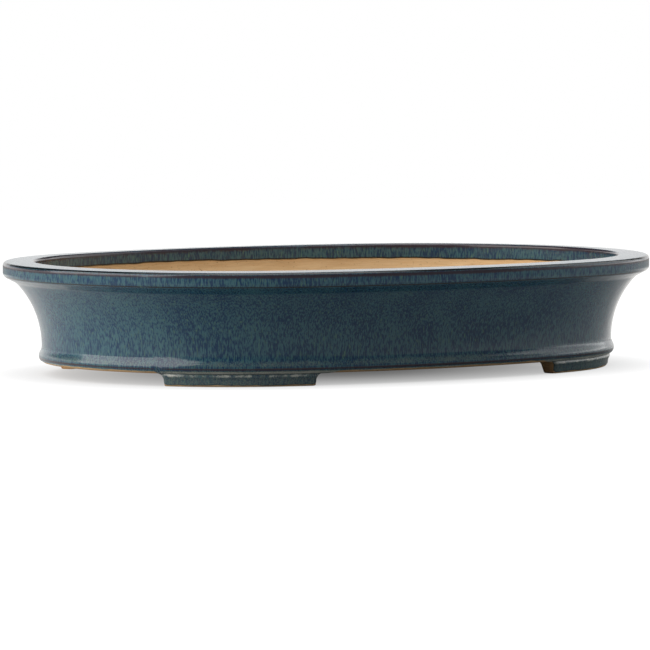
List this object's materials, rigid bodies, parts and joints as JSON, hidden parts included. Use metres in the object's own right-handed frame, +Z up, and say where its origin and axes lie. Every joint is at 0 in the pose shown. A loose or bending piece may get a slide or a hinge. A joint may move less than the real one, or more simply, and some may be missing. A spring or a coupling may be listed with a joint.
{
  "type": "bonsai pot",
  "caption": "Shallow oval glazed ceramic pot for a miniature tree, with a flaring wall, a wide flat lip, low curved feet and a pierced floor.",
  "frame": {"origin": "middle of the oval, on the ground under the feet", "axes": "+X along the pot's length, -Y towards the front, +Z up"},
  "size_m": [0.41, 0.29, 0.067],
  "materials": {
    "clay": "matte",
    "glaze": "gloss"
  },
  "bodies": {
    "root": {"floor": "clay", "wall": "clay", "rim": "clay", "base_band": "clay", "foot_front_left": "clay", "foot_front_right": "clay", "foot_back_left": "clay", "foot_back_right": "clay", "body_glaze": "glaze", "foot_glaze_front_left": "glaze", "foot_glaze_front_right": "glaze", "foot_glaze_back_left": "glaze", "foot_glaze_back_right": "glaze"}
  },
  "joints": []
}
